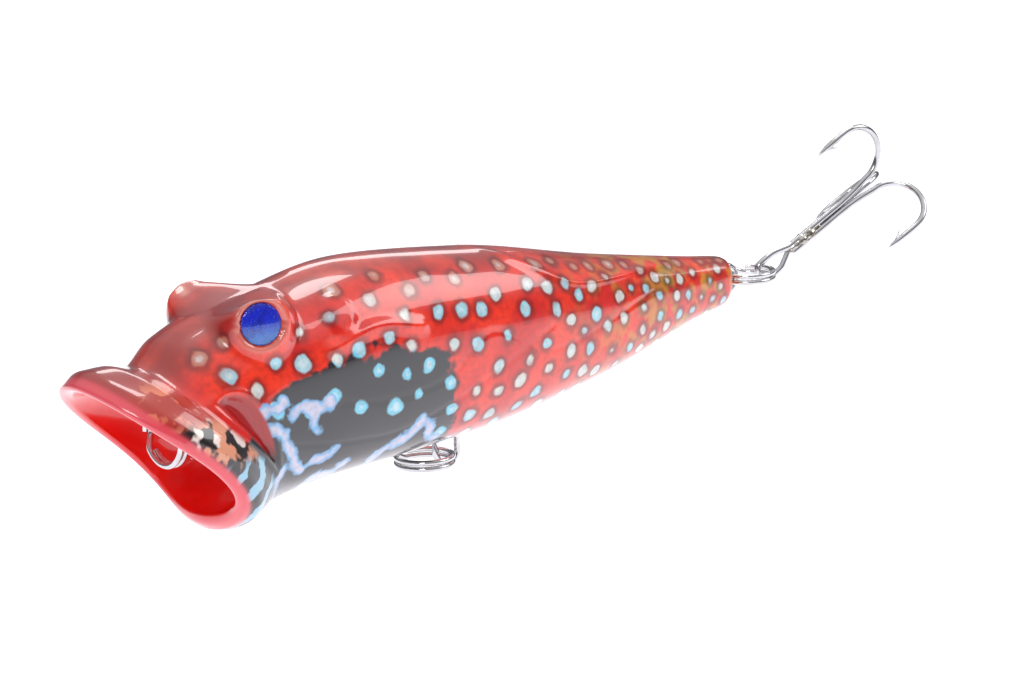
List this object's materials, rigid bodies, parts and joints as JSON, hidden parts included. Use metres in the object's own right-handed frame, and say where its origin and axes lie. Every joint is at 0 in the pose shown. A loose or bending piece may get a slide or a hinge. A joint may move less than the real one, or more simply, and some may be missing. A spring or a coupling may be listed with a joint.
{
  "type": "topwater popper lure",
  "caption": "Cup-mouthed topwater popper lure with raised eyes, rattle balls, wire eyelets, split rings and a swinging tail treble hook.",
  "frame": {"origin": "middle of the line tie's eye, inside the mouth", "axes": "+X from the mouth towards the tail, +Z towards the back, so the fish's left flank faces -Y"},
  "size_m": [0.1238, 0.0214, 0.0322],
  "materials": {
    "red_lacquer": "printed and clear-coated red lacquer with pale spots, a dark flank patch and a maroon back",
    "blue_foil": "vivid blue foil eye disc",
    "clear_lens": "clear domed resin over the eye",
    "nickel_wire": "bright nickel-plated steel wire",
    "nickel_hook": "bright nickel-plated hook wire",
    "braze": "plated braze metal",
    "steel_ball": "polished steel ball",
    "weight_metal": "plain cast weight"
  },
  "bodies": {
    "lure_body": {"body_left": "red_lacquer", "body_right": "red_lacquer", "eye_disc_left": "blue_foil", "eye_disc_right": "blue_foil", "eye_lens_left": "clear_lens", "eye_lens_right": "clear_lens", "line_tie_wire": "nickel_wire", "belly_hanger_wire": "nickel_wire", "tail_hanger_wire": "nickel_wire", "belly_weight": "weight_metal", "tail_weight": "weight_metal"},
    "nose_ring": {"nose_split_ring": "nickel_wire"},
    "belly_ring": {"belly_split_ring": "nickel_wire"},
    "tail_ring": {"tail_split_ring": "nickel_wire"},
    "tail_treble": {"treble_double_hook": "nickel_hook", "treble_single_hook": "nickel_hook", "treble_braze": "braze"},
    "front_rattle": {"rattle_ball_front": "steel_ball"},
    "middle_rattle": {"rattle_ball_middle": "steel_ball"},
    "rear_rattle": {"rattle_ball_rear": "steel_ball"}
  },
  "joints": [
    {"name": "nose_ring_swing", "type": "hinge", "parent": "lure_body", "child": "nose_ring", "pos_m": [0, 0, -0.00038], "axis": [0, 1, 0], "range_deg": [-30, 100]},
    {"name": "belly_ring_swing", "type": "hinge", "parent": "lure_body", "child": "belly_ring", "pos_m": [0.0391, 0, -0.01348], "axis": [0, -1, 0], "range_deg": [-8, 180]},
    {"name": "tail_ring_swing", "type": "hinge", "parent": "lure_body", "child": "tail_ring", "pos_m": [0.0853, 0, -0.0002], "axis": [0, -1, 0], "range_deg": [-80, 60]},
    {"name": "treble_swing", "type": "hinge", "parent": "tail_ring", "child": "tail_treble", "pos_m": [0.0919, 0, -0.0002], "axis": [0, -1, 0], "range_deg": [-75, 45]},
    {"name": "front_rattle_slide", "type": "slide", "parent": "lure_body", "child": "front_rattle", "axis": [1, 0, 0], "range_m": [-0.0017, 0.0017]},
    {"name": "middle_rattle_slide", "type": "slide", "parent": "lure_body", "child": "middle_rattle", "axis": [1, 0, 0], "range_m": [-0.0017, 0.0017]},
    {"name": "rear_rattle_slide", "type": "slide", "parent": "lure_body", "child": "rear_rattle", "axis": [1, 0, 0], "range_m": [-0.003, 0.003]}
  ]
}
